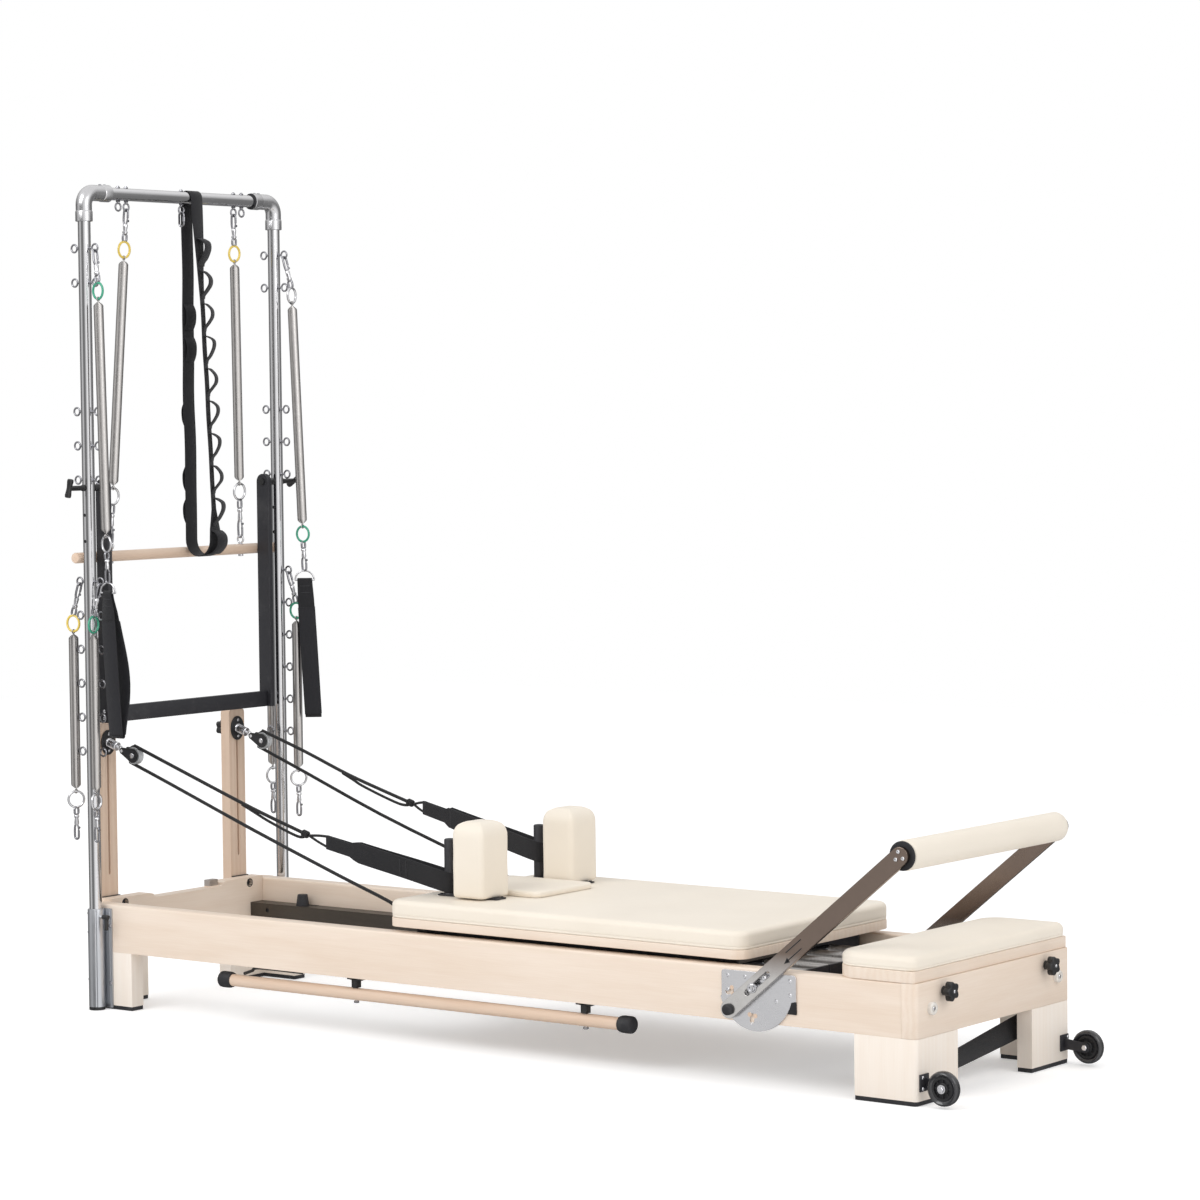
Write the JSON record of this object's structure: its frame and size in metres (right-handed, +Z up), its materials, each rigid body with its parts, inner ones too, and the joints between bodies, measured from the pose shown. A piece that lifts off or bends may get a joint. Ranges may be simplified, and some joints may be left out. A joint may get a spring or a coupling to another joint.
{
  "type": "pilates tower unit",
  "caption": "Wooden pilates reformer with a rolling padded carriage, footbar, rope pulleys and a stainless tower hung with springs, straps and bars.",
  "frame": {"origin": "on the floor under the middle of the whole apparatus", "axes": "+X from the tower towards the foot end, +Y across to the far side, +Z up"},
  "size_m": [2.7194, 0.894, 2.1535],
  "materials": {
    "maple": "pale maple, satin varnish",
    "dowel": "hardwood dowel, oiled; black rubber caps on the stored pole",
    "vinyl": "ivory upholstery with a fine grain",
    "polished_steel": "polished stainless steel",
    "brushed_steel": "brushed stainless steel, warm grey",
    "cast_aluminium": "satin aluminium casting",
    "dark_aluminium": "dark anodised aluminium",
    "black_steel": "black powder coat",
    "webbing": "black woven webbing and cord",
    "black_plastic": "moulded black plastic",
    "wheel_rubber": "dark grey rubber tyre on a plastic hub"
  },
  "bodies": {
    "frame": {"side_frame_near": "maple", "side_frame_far": "maple", "tower_end_board": "maple", "foot_end_board": "maple", "track_near": "dark_aluminium", "track_far": "dark_aluminium", "platform_base": "maple", "platform_pad": "vinyl", "spring_bar": "black_steel", "footbar_plate_near": "polished_steel", "footbar_plate_far": "polished_steel", "storage_pole": "dowel", "foot_strap": "webbing", "riser_post_near": "maple", "riser_post_far": "maple", "tower_socket_near": "cast_aluminium", "tower_socket_far": "cast_aluminium", "upright_near": "polished_steel", "upright_far": "polished_steel", "top_bar": "polished_steel", "push_bar_knob_near": "black_steel", "push_bar_knob_far": "black_steel", "loop_strap": "webbing", "rope_near": "webbing", "rope_far": "webbing"},
    "carriage": {"carriage_deck": "maple", "carriage_pad": "vinyl", "carriage_chassis": "black_steel", "carriage_springs": "black_steel", "shoulder_post_near": "black_steel", "shoulder_post_far": "black_steel", "shoulder_pad_near": "vinyl", "shoulder_pad_far": "vinyl"},
    "headrest": {"headrest": "vinyl"},
    "wheel_near": {"wheel_near": "wheel_rubber"},
    "wheel_far": {"wheel_far": "wheel_rubber"},
    "platform_knob_near": {"platform_knob_near": "black_plastic"},
    "platform_knob_far": {"platform_knob_far": "black_plastic"},
    "footbar_pivot": {"footbar_pivot_near": "polished_steel", "footbar_pivot_far": "polished_steel"},
    "footbar": {"footbar_frame": "brushed_steel", "footbar_pad": "vinyl"},
    "riser_clamp_near": {"riser_clamp_near": "black_steel", "pulley_block_near": "black_plastic"},
    "riser_clamp_far": {"riser_clamp_far": "black_steel", "pulley_block_far": "black_plastic"},
    "sheave_near": {"sheave_near": "black_plastic"},
    "sheave_far": {"sheave_far": "black_plastic"},
    "push_bar": {"push_bar": "black_steel"},
    "rolldown": {"rolldown_bar": "dowel", "rolldown_spring_near": "polished_steel", "rolldown_spring_far": "polished_steel"},
    "arm_spring_near": {"arm_spring_near": "polished_steel", "hand_strap_near": "webbing"},
    "arm_spring_far": {"arm_spring_far": "polished_steel", "hand_strap_far": "webbing"},
    "leg_spring_near_back": {"leg_spring_near_back": "polished_steel"},
    "leg_spring_near_front": {"leg_spring_near_front": "polished_steel"},
    "leg_spring_far_back": {"leg_spring_far_back": "polished_steel"},
    "leg_spring_far_front": {"leg_spring_far_front": "polished_steel"}
  },
  "joints": [
    {"name": "carriage_roll", "type": "slide", "parent": "frame", "child": "carriage", "axis": [-1, 0, 0], "range_m": [0, 0.75], "stiffness_N_per_m": 600, "deforming": ["carriage_springs", "rope_near", "rope_far"]},
    {"name": "headrest_tilt", "type": "hinge", "parent": "carriage", "child": "headrest", "pos_m": [0.02763, 0, 0.3543], "axis": [0, 1, 0], "range_deg": [0, 35]},
    {"name": "wheel_near_spin", "type": "hinge", "parent": "frame", "child": "wheel_near", "pos_m": [1.32163, -0.325, 0.045], "axis": [0, 1, 0], "continuous": true},
    {"name": "wheel_far_spin", "type": "hinge", "parent": "frame", "child": "wheel_far", "pos_m": [1.32163, 0.325, 0.045], "axis": [0, 1, 0], "continuous": true},
    {"name": "platform_knob_near_turn", "type": "hinge", "parent": "frame", "child": "platform_knob_near", "pos_m": [1.26163, -0.228, 0.247], "axis": [1, 0, 0], "continuous": true},
    {"name": "platform_knob_far_turn", "type": "hinge", "parent": "frame", "child": "platform_knob_far", "pos_m": [1.26163, 0.228, 0.247], "axis": [1, 0, 0], "continuous": true},
    {"name": "footbar_swing", "type": "hinge", "parent": "frame", "child": "footbar_pivot", "pos_m": [0.83163, 0, 0.233], "axis": [0, -1, 0], "range_deg": [-28, 42]},
    {"name": "footbar_lift", "type": "slide", "parent": "footbar_pivot", "child": "footbar", "axis": [0.7717, 0, 0.636], "range_m": [0, 0.018]},
    {"name": "push_bar_swing", "type": "hinge", "parent": "frame", "child": "push_bar", "pos_m": [-1.24137, 0, 1.366], "axis": [0, -1, 0], "range_deg": [0, 165]},
    {"name": "rolldown_swing", "type": "hinge", "parent": "frame", "child": "rolldown", "pos_m": [-1.24137, 0, 2.088], "axis": [0, 1, 0], "range_deg": [0, 45]},
    {"name": "riser_clamp_near_slide", "type": "slide", "parent": "frame", "child": "riser_clamp_near", "axis": [0, 0, 1], "range_m": [-0.34, 0], "deforming": ["rope_near"]},
    {"name": "sheave_near_spin", "type": "hinge", "parent": "riser_clamp_near", "child": "sheave_near", "pos_m": [-1.2007, -0.253, 0.65993], "axis": [0, 1, 0], "continuous": true},
    {"name": "arm_spring_near_swing", "type": "hinge", "parent": "frame", "child": "arm_spring_near", "pos_m": [-1.20437, -0.368, 1.977], "axis": [-1, 0, 0], "range_deg": [0, 45]},
    {"name": "leg_spring_near_back_swing", "type": "hinge", "parent": "frame", "child": "leg_spring_near_back", "pos_m": [-1.27837, -0.368, 1.112], "axis": [-1, 0, 0], "range_deg": [0, 45]},
    {"name": "leg_spring_near_front_swing", "type": "hinge", "parent": "frame", "child": "leg_spring_near_front", "pos_m": [-1.20437, -0.368, 1.112], "axis": [-1, 0, 0], "range_deg": [0, 45]},
    {"name": "riser_clamp_far_slide", "type": "slide", "parent": "frame", "child": "riser_clamp_far", "axis": [0, 0, 1], "range_m": [-0.34, 0], "deforming": ["rope_far"]},
    {"name": "sheave_far_spin", "type": "hinge", "parent": "riser_clamp_far", "child": "sheave_far", "pos_m": [-1.2007, 0.253, 0.65993], "axis": [0, 1, 0], "continuous": true},
    {"name": "arm_spring_far_swing", "type": "hinge", "parent": "frame", "child": "arm_spring_far", "pos_m": [-1.20437, 0.368, 1.977], "axis": [1, 0, 0], "range_deg": [0, 45]},
    {"name": "leg_spring_far_back_swing", "type": "hinge", "parent": "frame", "child": "leg_spring_far_back", "pos_m": [-1.27837, 0.368, 1.112], "axis": [1, 0, 0], "range_deg": [0, 45]},
    {"name": "leg_spring_far_front_swing", "type": "hinge", "parent": "frame", "child": "leg_spring_far_front", "pos_m": [-1.20437, 0.368, 1.112], "axis": [1, 0, 0], "range_deg": [0, 45]}
  ]
}
